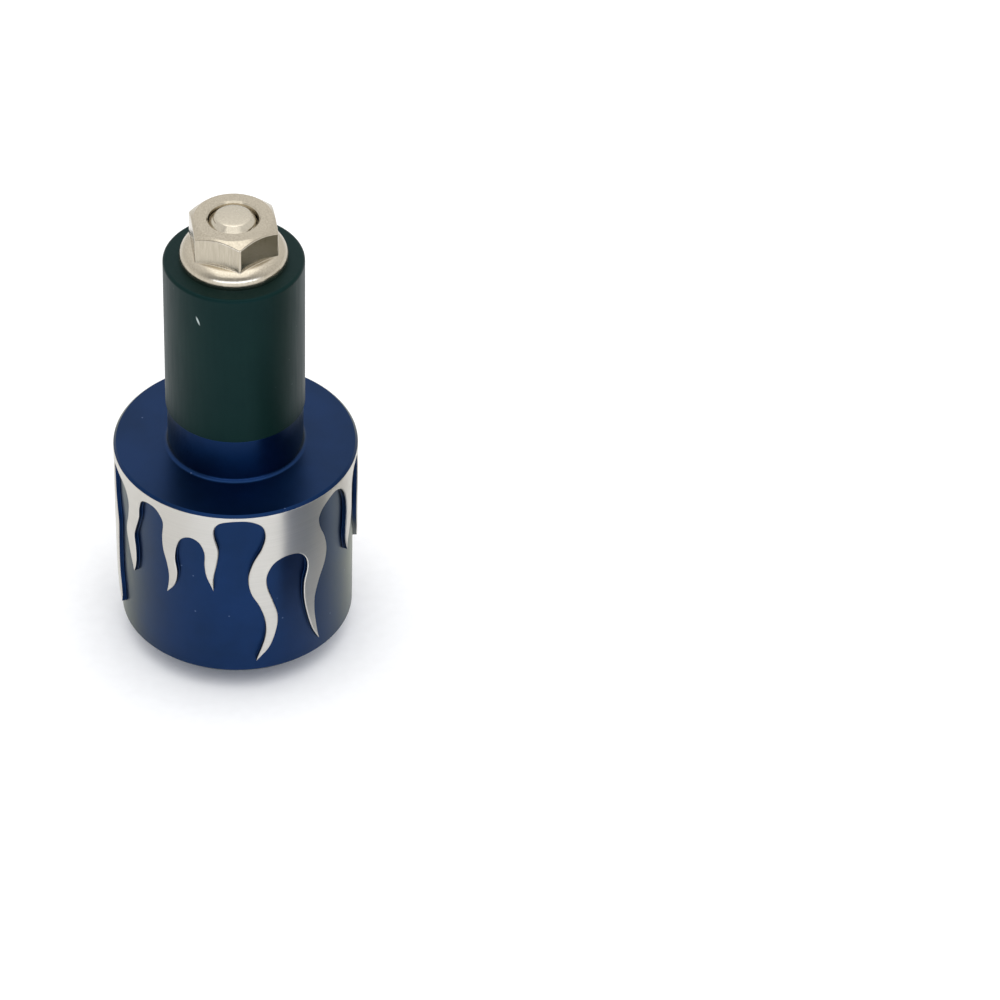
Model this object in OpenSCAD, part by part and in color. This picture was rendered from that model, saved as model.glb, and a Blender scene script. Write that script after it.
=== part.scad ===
// Bar end weight for a motorbike handlebar.
// It stands on its rounded outer end at z = 0. The handlebar side is up, and the axis is +Z.
// Turned from one billet: the flames are a skin left standing on the outside diameter,
// the ground round them is milled back, and the sleeve, screw and nut clamp it in the bar.

/* [Weight] */
// Outside diameter of the weight, over the flames
body_d = 30; // [28:0.5:36]
// Length of the weight, from the outer end to the shoulder that meets the bar
body_l = 28.4; // [27:0.1:34]
// Height of the flames above the ground, and so the depth that is milled away
relief = 0.6; // [0.3:0.1:1]
// Diameter of the flat in the middle of the outer end
end_flat_d = 15; // [14:0.5:17]
// Depth of the rounding from that flat to the milled side
end_round = 3.15; // [2:0.05:3.6]
// Chamfer on the edge of the shoulder
rim_chamfer = 0.35; // [0.2:0.05:0.4]

/* [Flames] */
// Reach of the longest flame below the shoulder
flame_reach = 24.5; // [18:0.5:25]
// Turn of the whole row of flames round the weight, in degrees
flame_turn = 0; // [0:5:355]

/* [Spigot] */
// Diameter of the neck between the shoulder and the sleeve
neck_d = 16.6; // [15:0.1:16.6]
// Length of the neck
neck_l = 6.2; // [4:0.1:8]
// Fillet at the foot of the neck
neck_fillet = 0.5; // [0.3:0.1:1]

/* [Screw] */
// Diameter of the screw's thread, over its crests
screw_d = 6; // [5:0.5:6]
// Length of the screw under its head
screw_l = 55; // [54:0.5:60]
// Diameter of the screw's head
head_d = 10; // [9.5:0.1:10.2]
// Height of the screw's head
head_h = 6; // [5:0.5:6]
// Width across the flats of the hexagon socket
socket_af = 5; // [4:0.5:5]
// Depth of the hexagon socket
socket_depth = 3; // [2:0.5:4]
// Diameter of the counterbore for the head
recess_d = 11; // [10.8:0.1:12]
// Depth of the head's face below the outer end
recess_depth = 1.6; // [1:0.1:3]
// Clearance on the diameter between the screw and the hole in the weight
hole_clearance = 0.4; // [0.2:0.1:1]

/* [Sleeve] */
// Outside diameter of the rubber sleeve, which fits the bore of the bar
sleeve_d = 17; // [16.8:0.1:18]
// Length of the rubber sleeve
sleeve_l = 21.6; // [19:0.1:22]
// Rounding of the sleeve's outer edge at the nut
sleeve_edge = 0.4; // [0.2:0.1:0.6]
// Rounding of the sleeve's outer edge at the neck
sleeve_foot = 0.15; // [0.1:0.05:0.4]

/* [Nut] */
// Width across the flats of the nut
nut_af = 10; // [9:0.5:10]
// Height of the nut with its flange
nut_h = 6; // [5.4:0.1:6.3]
// Diameter of the nut's flange
flange_d = 13.1; // [12.8:0.1:14]
// Height of the flange's dome
flange_h = 2.2; // [2:0.1:2.4]
// Clearance on the diameter between the nut's hole and the screw
nut_clearance = 0.1; // [0.06:0.02:0.2]
// Turn of the nut on the screw, in degrees
nut_turn = 41; // [0:1:59]

/* [Hidden] */
$fn = 96;

body_r = body_d / 2;
ground_r = body_r - relief;
shoulder_z = body_l;
neck_z = shoulder_z + neck_l;
sleeve_z = neck_z + sleeve_l;
seat_z = recess_depth + head_h;
tip_z = seat_z + screw_l;
hole_d = screw_d + hole_clearance;

// The flames, from left to right as seen from outside with the shoulder up. Each row is one flame:
// its left edge from the middle of the pocket before it down to the tip, then its right edge up to the
// middle of the next pocket. Points are [degrees round the weight, depth below the shoulder], on a drawing
// that is 24.5 deep.
drawn_reach = 24.5;
FLAMES = [
    [[[-76, 1.5], [-67, 1.7], [-60.5, 2.4], [-57.5, 4], [-58, 6], [-60, 8.5], [-58.5, 10.5], [-55.5, 13],
      [-53.5, 14.3]],
     [[-53.5, 14.3], [-52, 12.5], [-52, 10.5], [-53, 8.5], [-51.5, 7], [-49, 5], [-48.5, 3.5],
      [-46.5, 2], [-41, 1.5]]],
    [[[-41, 1.5], [-36.5, 1.8], [-33, 3.2], [-33.5, 5.5], [-33, 7.5], [-31, 9.5], [-30, 11.5], [-31, 14]],
     [[-31, 14], [-27, 12.5], [-25.5, 10.5], [-26.5, 8.2], [-25.5, 6.2], [-23, 4.8], [-18.5, 4.2]]],
    [[[-18.5, 4.2], [-14, 4.7], [-11.5, 6.2], [-11.5, 8.2], [-10.5, 10], [-7.3, 12]],
     [[-7.3, 12], [-7.3, 10], [-5.6, 7.6], [-4.8, 5.6], [-6.4, 3.8], [-6.8, 2.3], [-4.4, 1.3],
      [0.5, 0.9], [6, 0.8]]],
    [[[6, 0.8], [11.5, 1.1], [16, 2], [17.4, 3.6], [15.6, 5.5], [11.5, 7.6], [9.2, 10], [10.4, 12.4],
      [14.6, 14.8], [17.2, 17.4], [16.8, 20], [12.5, 23.4]],
     [[12.5, 23.4], [19, 21.4], [22.5, 18.6], [23, 16.4], [20.6, 14], [18, 11.6], [18.2, 9.7], [22, 8],
      [28.5, 7.4]]],
    [[[28.5, 7.4], [34.5, 7.7], [38.4, 9], [39, 10.6], [37.3, 12.6], [37.2, 15.2], [39, 18], [42, 20.8],
      [46, 23]],
     [[46, 23], [44.3, 20.4], [43.2, 17.8], [43.6, 15.6], [46.2, 13.2], [49.8, 11], [51, 9], [49.6, 7],
      [46.6, 5], [46.2, 3.4], [49.6, 2.1], [57, 1.2]]],
    [[[57, 1.2], [63, 1.9], [66.6, 3.6], [68, 5.8], [67.6, 8], [67, 10.3], [69, 12.7]],
     [[69, 12.7], [69.8, 11.4], [72.4, 9.4], [74.2, 7.4], [74.3, 5], [74.8, 3], [77.5, 1.4], [83, 0.9]]],
    [[[83, 0.9], [88.5, 1.7], [91, 3.6], [90.2, 5.6], [87.8, 7.8], [86.8, 9.8], [88.2, 12], [92.2, 14.2],
      [97.3, 16.5]],
     [[97.3, 16.5], [96, 14.2], [93.6, 12], [92.6, 10.2], [93.8, 8], [97, 5.8], [102.5, 4.4]]],
    [[[102.5, 4.4], [107.5, 4.7], [110.5, 6], [109.5, 8.2], [107, 10.4], [107, 12.6], [110, 15.4],
      [115.5, 18.2]],
     [[115.5, 18.2], [116, 15.2], [115.6, 12.4], [114.8, 9.6], [115.4, 6.8], [117.2, 4.2], [121, 1.8],
      [128, 0.9]]],
    [[[128, 0.9], [137.5, 1.1], [144.5, 1.9], [147.6, 3.6], [147, 6], [143.6, 9.4], [141, 13], [141, 17],
      [140, 21], [137.5, 24.5]],
     [[137.5, 24.5], [144.5, 21.8], [149, 18], [149.6, 14], [152.6, 10.4], [157, 8], [163, 7.1]]],
    [[[163, 7.1], [168, 7.6], [171, 9.4], [170.6, 12.2], [173.4, 15.4], [178.4, 18.6]],
     [[178.4, 18.6], [178.8, 15.2], [177.6, 11.8], [179.4, 8], [181, 5], [180.4, 2.8], [184, 1.3],
      [191, 0.9]]],
    [[[191, 0.9], [197, 1.3], [200.6, 3], [200.4, 5.4], [197.4, 8], [197.6, 10.6], [201.8, 13.6]],
     [[201.8, 13.6], [202.6, 10.8], [205.6, 8.2], [206.4, 5.8], [209.2, 4.3], [214, 3.8]]],
    [[[214, 3.8], [219, 4.3], [221.4, 6.2], [220.4, 9], [217.8, 12], [219.2, 15.4], [223.6, 18.8],
      [227, 22.2]],
     [[227, 22.2], [227.8, 18.4], [225.4, 14.6], [224.8, 11.4], [228, 8], [230.8, 5], [231.2, 2.8],
      [235, 1.3], [241, 0.9]]],
    [[[241, 0.9], [247, 1.4], [250, 3.2], [249, 6], [247.2, 8.8], [248.6, 11.6], [252.6, 15]],
     [[252.6, 15], [253.6, 12], [253.4, 9.2], [255, 6.8], [259.5, 5]]],
    [[[259.5, 5], [264, 5.4], [266.4, 7.4], [265.6, 10.4], [264.6, 13.4], [266, 16.4], [269, 19.2]],
     [[269, 19.2], [269.8, 16.4], [269.6, 13.8], [271, 11.6], [274.4, 10.4]]],
    [[[274.4, 10.4], [277.8, 11], [279.8, 13], [280.4, 15.8], [282.4, 18.8], [286, 21], [291, 22.4]],
     [[291, 22.4], [290, 20.2], [288, 18.3], [287.2, 16], [287.4, 13.3], [288, 10], [285.6, 8],
      [283.4, 6.2], [282.2, 4], [281.4, 2.5], [284, 1.5]]],
];
// Straight walls that each span between two drawn points is cut into
wall_steps = 3;
// Half width, in degrees, of the level bridge over a pocket
bridge_angle = 3.6;
// Depth scale of the drawing
flame_scale = flame_reach / drawn_reach;

// Point at t, from 0 to 1, on the smooth curve through b and c, with neighbours a and d
function blend(a, b, c, d, t) =
    0.5 * (2 * b + (c - a) * t + (2 * a - 5 * b + 4 * c - d) * t * t + (3 * b - a - 3 * c + d) * t * t * t);

// Smooth curve through points p, with n steps between each two, and neighbours before and after its ends
function smooth(p, n, before, after) = [
    for (i = [0 : len(p) - 2], k = [0 : n - 1])
        blend(i == 0 ? before : p[i - 1], p[i], p[i + 1], i == len(p) - 2 ? after : p[i + 2], k / n),
    p[len(p) - 1]
];

// Neighbour that makes a curve run level where it ends at e, after q
function level(e, q) = [2 * e[0] - q[0], q[1]];

// Lower edge of one flame, level towards the pockets and sharp at the tip
function flame_edge(f) = let (l = f[0], r = f[1], m = len(l) - 1, n = len(r) - 1,
    left = smooth(l, wall_steps, level(l[0], l[1]), l[m]),
    right = smooth(r, wall_steps, r[0], level(r[n], r[n - 1]))
) concat([for (i = [1 : m * wall_steps]) left[i]], [for (i = [1 : n * wall_steps - 1]) right[i]]);

// A drawing's outline, stood out of the side at a turn of a degrees
module raised(a, outline) {
    rotate([0, 0, a + flame_turn])
        translate([0, -(ground_r - 1.2), 0])
        rotate([90, 0, 0])
        linear_extrude(relief + 2)
        polygon(outline);
}

// One flame with its piece of the band, and the bridge over the pocket that follows it
module flame(f) {
    edge = flame_edge(f);
    n = len(edge) - 1;
    mid = (edge[0][0] + edge[n][0]) / 2;
    top = shoulder_z + 1;
    raised(mid, [
        [body_r * sin(edge[0][0] - mid), top],
        for (p = edge) [body_r * sin(p[0] - mid), shoulder_z - p[1] * flame_scale],
        [body_r * sin(edge[n][0] - mid), top],
    ]);
    pocket = f[1][len(f[1]) - 1];
    reach = body_r * sin(bridge_angle);
    low = shoulder_z - pocket[1] * flame_scale;
    raised(pocket[0], [[-reach, top], [-reach, low], [reach, low], [reach, top]]);
}

// Half section of a ring between radii r1 and r2 and heights z1 and z2
module band(r1, r2, z1, z2) {
    translate([r1, z1]) square([r2 - r1, z2 - z1]);
}

// Half section of the turned weight under the flames, with its rounded outer end and its neck
module weight_section() {
    flat_r = end_flat_d / 2;
    reach = ground_r - flat_r;
    arc_r = (reach * reach + end_round * end_round) / (2 * end_round);
    band(0, ground_r, end_round + 0.5, shoulder_z);
    band(0, flat_r, 0, end_round + 1);
    intersection() {
        translate([flat_r, arc_r]) circle(arc_r);
        band(flat_r - 1, ground_r, 0, end_round + 1);
    }
    band(0, neck_d / 2, shoulder_z - 1, neck_z);
    difference() {
        band(0, neck_d / 2 + neck_fillet, shoulder_z - 1, shoulder_z + neck_fillet);
        translate([neck_d / 2 + neck_fillet, shoulder_z + neck_fillet]) circle(neck_fillet);
    }
}

// Half section of the skin that the flames are left in, with the chamfer of the shoulder
module skin_section() {
    polygon([
        [ground_r - 0.8, end_round], [body_r, end_round], [body_r, shoulder_z - rim_chamfer],
        [body_r - rim_chamfer, shoulder_z], [ground_r - 0.8, shoulder_z]
    ]);
}

module weight() {
    color("#1d2f66") difference() {
        union() {
            rotate_extrude() weight_section();
            intersection() {
                rotate_extrude() skin_section();
                union() for (f = FLAMES) flame(f);
            }
        }
        // hole for the screw
        translate([0, 0, -1]) cylinder(d = hole_d, h = neck_z + 2);
        // counterbore for its head, with a broken edge
        translate([0, 0, -1]) cylinder(d = recess_d, h = seat_z + 1);
        translate([0, 0, -0.01]) cylinder(d1 = recess_d + 0.62, d2 = recess_d, h = 0.31);
        // countersink at the neck's end
        translate([0, 0, neck_z - 0.3]) cylinder(d1 = hole_d, d2 = hole_d + 0.62, h = 0.31);
    }
}

// Half section of a rounding of radius e about the point r, z
module sleeve_corner(r, z, e) {
    translate([r, z]) intersection() {
        circle(e);
        translate([0, -e]) square([e, 2 * e]);
    }
}

module sleeve() {
    r = sleeve_d / 2;
    color("#17211f") difference() {
        rotate_extrude() {
            band(0, r - sleeve_edge, neck_z + sleeve_foot, sleeve_z);
            band(0, r - sleeve_foot, neck_z, neck_z + 1);
            band(0, r, neck_z + sleeve_foot, sleeve_z - sleeve_edge);
            sleeve_corner(r - sleeve_foot, neck_z + sleeve_foot, sleeve_foot);
            sleeve_corner(r - sleeve_edge, sleeve_z - sleeve_edge, sleeve_edge);
        }
        translate([0, 0, neck_z - 1]) cylinder(d = hole_d, h = sleeve_l + 2);
    }
}

module cap_screw() {
    point = 0.8;
    color("#cbc3b4") difference() {
        union() {
            translate([0, 0, recess_depth + 0.4]) cylinder(d = head_d, h = head_h - 0.4);
            translate([0, 0, recess_depth]) cylinder(d1 = head_d - 0.8, d2 = head_d, h = 0.4);
            translate([0, 0, seat_z - 1]) cylinder(d = screw_d, h = screw_l + 1 - point);
            translate([0, 0, tip_z - point]) cylinder(d1 = screw_d, d2 = screw_d - 2 * point, h = point);
        }
        // hexagon socket, with a drilled point at its floor
        translate([0, 0, recess_depth - 1])
            cylinder(d = socket_af / cos(30), h = socket_depth + 1, $fn = 6);
        translate([0, 0, recess_depth + socket_depth - 0.01])
            cylinder(d1 = socket_af * 0.9, d2 = 0.4, h = 1.2);
    }
}

module flange_nut() {
    corner_r = nut_af / 2 / cos(30);
    bore_d = screw_d + nut_clearance;
    crown_r = nut_af / 2 - 0.3;
    crown_w = 2;
    dome_c = nut_af / 2 - 0.2;
    dome_r = flange_d / 2 - dome_c;
    color("#cfc8ba") translate([0, 0, sleeve_z]) difference() {
        union() {
            // flange: a dome that falls from the hexagon to a narrow edge
            rotate_extrude() {
                band(0, dome_c, 0, flange_h - 0.3);
                intersection() {
                    translate([dome_c, flange_h - dome_r]) circle(dome_r);
                    band(dome_c - 0.5, flange_d / 2 + 1, 0, flange_h + 1);
                }
            }
            // hexagon, chamfered round its top corners
            intersection() {
                rotate([0, 0, nut_turn]) translate([0, 0, 0.5])
                    cylinder(r = corner_r, h = nut_h - 0.5, $fn = 6);
                rotate_extrude() polygon([
                    [0, 0], [crown_r + crown_w, 0], [crown_r + crown_w, nut_h - crown_w * tan(38)],
                    [crown_r, nut_h], [0, nut_h]
                ]);
            }
        }
        translate([0, 0, -1]) cylinder(d = bore_d, h = nut_h + 2);
        translate([0, 0, -0.01]) cylinder(d1 = bore_d + 0.32, d2 = bore_d, h = 0.16);
        translate([0, 0, nut_h - 0.15]) cylinder(d1 = bore_d, d2 = bore_d + 0.32, h = 0.16);
    }
}

weight();
sleeve();
cap_screw();
flange_nut();
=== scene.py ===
# %% [markdown]
# # A bar end weight for a motorbike, dressed in Blender
# The real thing is a small heavy plug for the open end of a handlebar. A turned aluminium weight
# shows outside, a rubber sleeve goes inside the tube, and one long screw with a nut pulls the sleeve
# short, so that it swells and grips. It could be sketched as a few cylinders, but then nothing of what
# makes it worth looking at would be there: the milled flames, the broken edges, the plating. So each of
# the four pieces is built again here from its own section. Its radius, foot and top come from the frame.

# %% Load the frame
import math

import bmesh
import bpy
import numpy as np
from mathutils import Matrix, Vector
from mathutils.geometry import delaunay_2d_cdt


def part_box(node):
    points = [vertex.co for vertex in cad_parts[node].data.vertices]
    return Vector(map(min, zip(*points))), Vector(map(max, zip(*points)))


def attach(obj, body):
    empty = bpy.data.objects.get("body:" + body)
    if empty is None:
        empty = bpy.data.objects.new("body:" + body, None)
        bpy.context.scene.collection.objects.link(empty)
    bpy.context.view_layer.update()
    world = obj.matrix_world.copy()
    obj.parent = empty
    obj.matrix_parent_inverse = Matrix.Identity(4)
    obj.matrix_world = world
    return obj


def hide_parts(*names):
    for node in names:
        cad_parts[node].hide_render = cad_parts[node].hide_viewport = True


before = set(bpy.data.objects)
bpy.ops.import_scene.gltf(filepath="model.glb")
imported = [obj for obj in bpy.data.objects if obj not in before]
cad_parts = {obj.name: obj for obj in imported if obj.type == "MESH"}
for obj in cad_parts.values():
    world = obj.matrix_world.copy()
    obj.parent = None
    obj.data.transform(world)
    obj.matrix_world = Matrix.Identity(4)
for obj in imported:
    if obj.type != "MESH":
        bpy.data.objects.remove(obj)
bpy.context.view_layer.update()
MM = 0.001


def reach_of(name):
    """Radius, foot and top of a piece in mm, as the frame gives them."""
    low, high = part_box(name)
    return [round(float(side) / MM, 3) for side in (high[0], low[2], high[2])]


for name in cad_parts:
    print(name, "has radius, foot and top in mm:", reach_of(name))

# %% [markdown]
# ## The camera
# The picture was taken with a long lens from 40 degrees above the table, and the weight stands left of
# the middle. The camera could be aimed at the weight and the picture cropped, but a long lens that looks
# past the object gives the same framing with no shift. The numbers come from fitting the ellipses of the
# shoulder and of the sleeve.

# %% Place the camera
PICTURE = 1000
FOCAL_PIXELS = 5084.0
ELEVATION, ROLL = math.radians(40.09), math.radians(1.886)
AXIS_HEIGHT = 30.18 * MM
AXIS_DISTANCE = 621.8 * MM
AXIS_PIXEL = (235.6, 426.8)

back = Vector((0, -math.cos(ELEVATION), math.sin(ELEVATION)))
level_right = Vector((1, 0, 0))
level_up = back.cross(level_right)
right = level_right * math.cos(ROLL) + level_up * math.sin(ROLL)
up = level_up * math.cos(ROLL) - level_right * math.sin(ROLL)
past = right * (AXIS_PIXEL[0] - PICTURE / 2) + up * (PICTURE / 2 - AXIS_PIXEL[1])
eye = Vector((0, 0, AXIS_HEIGHT)) - (past / FOCAL_PIXELS - back) * AXIS_DISTANCE

lens = bpy.data.cameras.new("long lens")
lens.sensor_width = 36
lens.lens = FOCAL_PIXELS * lens.sensor_width / PICTURE
lens.clip_start, lens.clip_end = 0.01, 20
camera = bpy.data.objects.new("camera", lens)
turn = Matrix((right, up, back)).transposed().to_4x4()
camera.matrix_world = Matrix.Translation(eye) @ turn
bpy.context.scene.collection.objects.link(camera)
bpy.context.scene.camera = camera
print("lens", round(lens.lens, 1), "mm, camera at", [round(c, 3) for c in eye])

# %% [markdown]
# ## Small tools
# A finish is a tree of shader nodes, and one function is enough to write any of them: it adds a node,
# sets it, and links what it is given. An input may be a plain value, a socket, or a whole node, which
# then gives its first output. Colours are written as a screen shows them, and one function turns them
# into the linear light that Cycles works in.

# %% Colours, nodes and pieces
def light_of(hex_colour):
    parts = [int(hex_colour[i:i + 2], 16) / 255 for i in (1, 3, 5)]
    linear = [p / 12.92 if p <= 0.04045 else ((p + 0.055) / 1.055) ** 2.4 for p in parts]
    return (*linear, 1.0)


def put(tree, kind, inputs=None, stops=(), **settings):
    """Add a node with its settings and links; stops are the places and colours of a colour ramp."""
    node = tree.nodes.new(kind)
    for key, value in settings.items():
        setattr(node, key, value)
    for key, value in (inputs or {}).items():
        if isinstance(value, bpy.types.Node):
            value = value.outputs[0]
        if isinstance(value, bpy.types.NodeSocket):
            tree.links.new(value, node.inputs[key])
        else:
            node.inputs[key].default_value = value
    for _ in stops[2:]:
        node.color_ramp.elements.new(0.5)
    for k, (place, colour) in enumerate(stops):
        stop = node.color_ramp.elements[k]
        stop.position = place
        stop.color = light_of(colour) if isinstance(colour, str) else (colour, colour, colour, 1)
    return node


def new_finish(name):
    finish = bpy.data.materials.new(name)
    finish.use_nodes = True
    finish.node_tree.nodes.clear()
    return finish, finish.node_tree


def piece_of(name, mesh, *finishes):
    piece = bpy.data.objects.new(name, mesh)
    bpy.context.scene.collection.objects.link(piece)
    for finish in finishes:
        mesh.materials.append(finish)
    return piece


def triangles(mesh):
    mesh.calc_loop_triangles()
    return len(mesh.loop_triangles)


# The sockets of a colour mix go by number here, because their names repeat inside the node.
SHARE, UNDER, OVER, MIXED = 0, 6, 7, 2
print("tools ready")

# %% [markdown]
# ## Blue anodising
# The weight is dyed in an anodising bath: a clear oxide skin a few hundredths of a millimetre thick,
# full of blue dye, over aluminium that was turned and etched to a satin first. It could be a blue paint
# with gloss on top, but paint has a white highlight. Here the metal below does the reflecting and the dye
# colours it, so a metallic shader with a deep blue is nearer. A faint clear coat stands for the oxide's
# own surface, and the rings from turning smear the reflections across them. The etch leaves a grain of
# about 0.05 mm, which is drawn at 0.12 mm to show at all, and there are a few specks of dust.

# %% Blue anodised aluminium
def blue_anodised():
    cloud_size, grain_size, dust_spacing = 9 * MM, 0.12 * MM, 2.6 * MM
    finish, tree = new_finish("aluminium etched and anodised blue")
    place = put(tree, "ShaderNodeTexCoord").outputs["Object"]
    cloud = put(tree, "ShaderNodeTexNoise", {
        "Vector": place, "Scale": 1 / cloud_size, "Detail": 3.0, "Roughness": 0.6})
    grain = put(tree, "ShaderNodeTexNoise", {"Vector": place, "Scale": 1 / grain_size, "Detail": 2.0})
    speck = put(tree, "ShaderNodeTexVoronoi", {"Vector": place, "Scale": 1 / dust_spacing})
    dyed = put(tree, "ShaderNodeValToRGB", {"Fac": cloud}, [(0.35, "#05254b"), (0.65, "#082a55")])
    dust = put(tree, "ShaderNodeValToRGB", {"Fac": speck}, [(0.03, 0.22), (0.05, 0.0)])
    colour = put(tree, "ShaderNodeMix", {SHARE: dust, UNDER: dyed, OVER: light_of("#8ea3cf")},
                 data_type="RGBA").outputs[MIXED]
    rough = put(tree, "ShaderNodeMapRange", {
        "Value": cloud, "From Min": 0.3, "From Max": 0.7, "To Min": 0.31, "To Max": 0.37})
    bump = put(tree, "ShaderNodeBump", {"Height": grain, "Strength": 0.12, "Distance": 0.01 * MM})
    around = put(tree, "ShaderNodeTangent", direction_type="RADIAL", axis="Z")
    shader = put(tree, "ShaderNodeBsdfPrincipled", {
        "Base Color": colour, "Metallic": 1.0, "Roughness": rough, "Normal": bump,
        "Anisotropic": 0.5, "Anisotropic Rotation": 0.25, "Tangent": around,
        "Specular Tint": light_of("#ffffe7"), "Coat Weight": 0.12, "Coat Roughness": 0.3, "Coat IOR": 1.6})
    put(tree, "ShaderNodeOutputMaterial", {"Surface": shader})
    return finish


BLUE = blue_anodised()
print(BLUE.name, len(BLUE.node_tree.nodes), "nodes")

# %% [markdown]
# ## The skimmed flames
# After the blue was on, the outside was turned once more, so only the ground stayed blue and the flames
# came out as bare bright metal. A lathe tool leaves one fine groove that winds round the piece, about
# 0.05 mm wide, and such grooves smear a reflection along the axis. The grooves could be real geometry,
# but they are far finer than a pixel: a noise that is squeezed along the axis, in colour and bump, and
# an anisotropic highlight give the same streaks. The grooves are drawn 0.16 mm wide to show.

# %% Bare turned aluminium
def bare_turned():
    groove_length, groove_width, broad_size = MM / 0.03, 0.16 * MM, 6 * MM
    finish, tree = new_finish("aluminium turned bare")
    place = put(tree, "ShaderNodeTexCoord").outputs["Object"]
    wound = put(tree, "ShaderNodeMapping", {
        "Vector": place, "Scale": (1 / groove_length, 1 / groove_length, 1 / groove_width)})
    groove = put(tree, "ShaderNodeTexNoise", {
        "Vector": wound, "Scale": 1.0, "Detail": 3.0, "Roughness": 0.6})
    broad = put(tree, "ShaderNodeTexNoise", {"Vector": place, "Scale": 1 / broad_size, "Detail": 2.0})
    colour = put(tree, "ShaderNodeValToRGB", {"Fac": groove}, [(0.3, "#c5c2bb"), (0.7, "#cbc8c1")])
    rough = put(tree, "ShaderNodeMapRange", {
        "Value": broad, "From Min": 0.3, "From Max": 0.7, "To Min": 0.36, "To Max": 0.42})
    bump = put(tree, "ShaderNodeBump", {"Height": groove, "Strength": 0.06, "Distance": 0.01 * MM})
    around = put(tree, "ShaderNodeTangent", direction_type="RADIAL", axis="Z")
    shader = put(tree, "ShaderNodeBsdfPrincipled", {
        "Base Color": colour, "Metallic": 1.0, "Roughness": rough, "Normal": bump,
        "Anisotropic": 0.92, "Anisotropic Rotation": 0.25, "Tangent": around})
    put(tree, "ShaderNodeOutputMaterial", {"Surface": shader})
    return finish


BARE = bare_turned()
print(BARE.name, len(BARE.node_tree.nodes), "nodes")

# %% [markdown]
# ## Black rubber
# The sleeve is cut from an extruded tube of black rubber with a soft, slightly greenish bloom. A lighter
# grey would give the brightness, but the bloom is in the reflection, so the specular is tinted instead.
# It pales at its sides, which is what any smooth dielectric does at a grazing angle. Its streaks run
# along the tube, as the die leaves them. One light nick near the upper end is all its wear: it is drawn
# as a thin ellipsoid of paler colour that cuts the surface.

# %% Extruded black rubber
SLEEVE_R, NECK_TOP, SLEEVE_TOP = reach_of("sleeve")
NICK_TURN, NICK_LEAN, NICK_HEIGHT = math.radians(-26.7), math.radians(-23), 52.4
NICK_SIZE = (0.17 * MM, 0.3 * MM, 0.75 * MM)
NICK_AT = (SLEEVE_R * MM * math.sin(NICK_TURN), -SLEEVE_R * MM * math.cos(NICK_TURN), NICK_HEIGHT * MM)


def black_rubber():
    streak_width, streak_length = 0.5 * MM, 8 * MM
    cloud_size, dust_spacing = 5 * MM, 2.1 * MM
    finish, tree = new_finish("rubber extruded black")
    place = put(tree, "ShaderNodeTexCoord").outputs["Object"]
    drawn = put(tree, "ShaderNodeMapping", {
        "Vector": place, "Scale": (1 / streak_width, 1 / streak_width, 1 / streak_length)})
    streak = put(tree, "ShaderNodeTexNoise", {"Vector": drawn, "Scale": 1.0, "Detail": 3.0})
    cloud = put(tree, "ShaderNodeTexNoise", {"Vector": place, "Scale": 1 / cloud_size, "Detail": 4.0})
    speck = put(tree, "ShaderNodeTexVoronoi", {"Vector": place, "Scale": 1 / dust_spacing})
    black = put(tree, "ShaderNodeValToRGB", {"Fac": cloud}, [(0.3, "#051510"), (0.7, "#071913")])
    dust = put(tree, "ShaderNodeValToRGB", {"Fac": speck}, [(0.03, 0.35), (0.05, 0.0)])
    dusty = put(tree, "ShaderNodeMix", {SHARE: dust, UNDER: black, OVER: light_of("#59625f")},
                data_type="RGBA").outputs[MIXED]
    nicked = put(tree, "ShaderNodeMapping", {
        "Vector": place, "Location": NICK_AT, "Rotation": (0, NICK_LEAN, NICK_TURN), "Scale": NICK_SIZE},
        vector_type="TEXTURE")
    depth = put(tree, "ShaderNodeTexGradient", {"Vector": nicked}, gradient_type="SPHERICAL")
    nick = put(tree, "ShaderNodeValToRGB", {"Fac": depth.outputs["Fac"]}, [(0.05, 0.0), (0.5, 0.9)])
    colour = put(tree, "ShaderNodeMix", {SHARE: nick, UNDER: dusty, OVER: light_of("#b0bab6")},
                 data_type="RGBA").outputs[MIXED]
    rough = put(tree, "ShaderNodeMapRange", {
        "Value": streak, "From Min": 0.3, "From Max": 0.7, "To Min": 0.42, "To Max": 0.5})
    bump = put(tree, "ShaderNodeBump", {"Height": streak, "Strength": 0.15, "Distance": 0.02 * MM})
    shader = put(tree, "ShaderNodeBsdfPrincipled", {
        "Base Color": colour, "Roughness": rough, "Normal": bump, "IOR": 1.5,
        "Specular IOR Level": 0.18, "Specular Tint": light_of("#90ecff")})
    put(tree, "ShaderNodeOutputMaterial", {"Surface": shader})
    return finish


RUBBER = black_rubber()
print(RUBBER.name, len(RUBBER.node_tree.nodes), "nodes")

# %% [markdown]
# ## Plated steel
# The screw and the nut are cold formed steel with a thin zinc plating, warm and satin, and their flats
# keep upright streaks from the tool that trimmed them. One grey metal would do for both from afar, but
# the nut is a shade darker and smoother than the end of the screw, so one function makes both finishes.

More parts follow.
